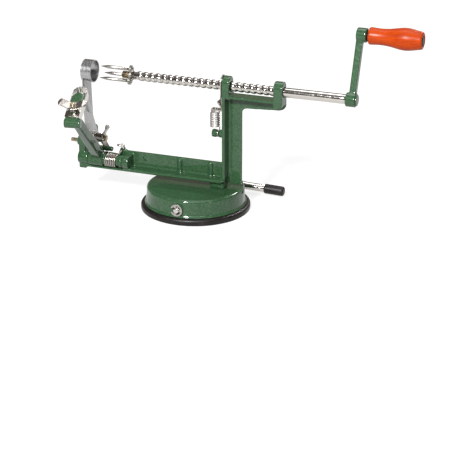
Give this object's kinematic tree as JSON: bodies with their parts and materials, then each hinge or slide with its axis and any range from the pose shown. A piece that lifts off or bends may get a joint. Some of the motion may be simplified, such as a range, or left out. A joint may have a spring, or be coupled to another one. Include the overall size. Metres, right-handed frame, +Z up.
{
  "type": "hand-cranked fruit peeler, corer and slicer",
  "caption": "Hand-cranked fruit peeler, corer and slicer: threaded feed shaft with fork and crank, sprung peeling arm, slicing knife with coring ring, cast frame on a suction base.",
  "frame": {"origin": "centre of the flat underside of the suction pad, on the base's axis", "axes": "+X along the feed shaft towards the crank, +Y to the back, away from the peeling arm, +Z up"},
  "size_m": [0.3304, 0.1343, 0.1848],
  "materials": {
    "green_enamel": "dark green hammered enamel, glossy",
    "black_rubber": "satin",
    "plain_steel": "zinc plated, satin",
    "blade_steel": "ground stainless steel",
    "spring_steel": "drawn wire",
    "bright_chrome": "bright plated",
    "yellow_zinc": "yellow zinc plated",
    "black_oxide": "black oxide",
    "orange_wood": "orange-red lacquer on turned wood"
  },
  "bodies": {
    "frame": {"base_housing": "green_enamel", "suction_pad": "black_rubber", "frame_casting": "green_enamel", "frame_screws": "plain_steel", "slicing_knife": "blade_steel", "knife_bolt": "yellow_zinc", "knife_washer": "plain_steel", "knife_wing_nut": "bright_chrome", "pivot_pin": "plain_steel", "arm_spring": "spring_steel", "stop_pin": "yellow_zinc", "latch_screw": "plain_steel"},
    "lever": {"lever_rod": "bright_chrome", "lever_grip": "black_rubber", "retaining_clip": "plain_steel"},
    "stud": {"pad_stud": "plain_steel"},
    "arm": {"peeling_arm": "green_enamel", "peeling_blade": "blade_steel", "blade_bolt": "yellow_zinc", "blade_wing_nut": "bright_chrome"},
    "latch": {"latch_plate": "plain_steel", "latch_spring": "spring_steel"},
    "carriage": {"crank_rivet": "green_enamel"},
    "shaft": {"feed_shaft": "bright_chrome", "fork_plate": "plain_steel", "fork_prongs": "plain_steel", "fork_nut": "yellow_zinc", "crank": "green_enamel", "grip_pin": "black_oxide"},
    "grip": {"wooden_grip": "orange_wood"}
  },
  "joints": [
    {"name": "suction_lever", "type": "hinge", "parent": "frame", "child": "lever", "pos_m": [0, 0, 0.0135], "axis": [0, -1, 0], "range_deg": [0, 180]},
    {"name": "pad_lift", "type": "slide", "parent": "frame", "child": "stud", "axis": [0, 0, 1], "range_m": [0, 0.00301], "deforming": ["suction_pad"]},
    {"name": "arm_swing", "type": "hinge", "parent": "frame", "child": "arm", "pos_m": [-0.09, -0.0045, 0.037], "axis": [1, 0, 0], "range_deg": [-14, 55], "stiffness_Nm_per_rad": 0.35, "springref_deg": -5.44, "deforming": ["arm_spring"]},
    {"name": "latch_lift", "type": "slide", "parent": "frame", "child": "latch", "axis": [0, 0, 1], "range_m": [0, 0.0024], "stiffness_N_per_m": 300, "springref_m": -0.01, "deforming": ["latch_spring"]},
    {"name": "feed", "type": "slide", "parent": "frame", "child": "carriage", "axis": [-1, 0, 0], "range_m": [-0.0751, 0.0341]},
    {"name": "shaft_spin", "type": "hinge", "parent": "carriage", "child": "shaft", "pos_m": [0, 0, 0.121], "axis": [-1, 0, 0], "range_deg": [-4440, 2010]},
    {"name": "grip_spin", "type": "hinge", "parent": "shaft", "child": "grip", "pos_m": [0.18, 0.02109, 0.17481], "axis": [1, 0, 0], "continuous": true}
  ],
  "couplings": [
    {"joint": "pad_lift", "follows": "suction_lever", "m_per_rad": 0.00095493},
    {"joint": "feed", "follows": "shaft_spin", "m_per_rad": 0.00096289}
  ]
}
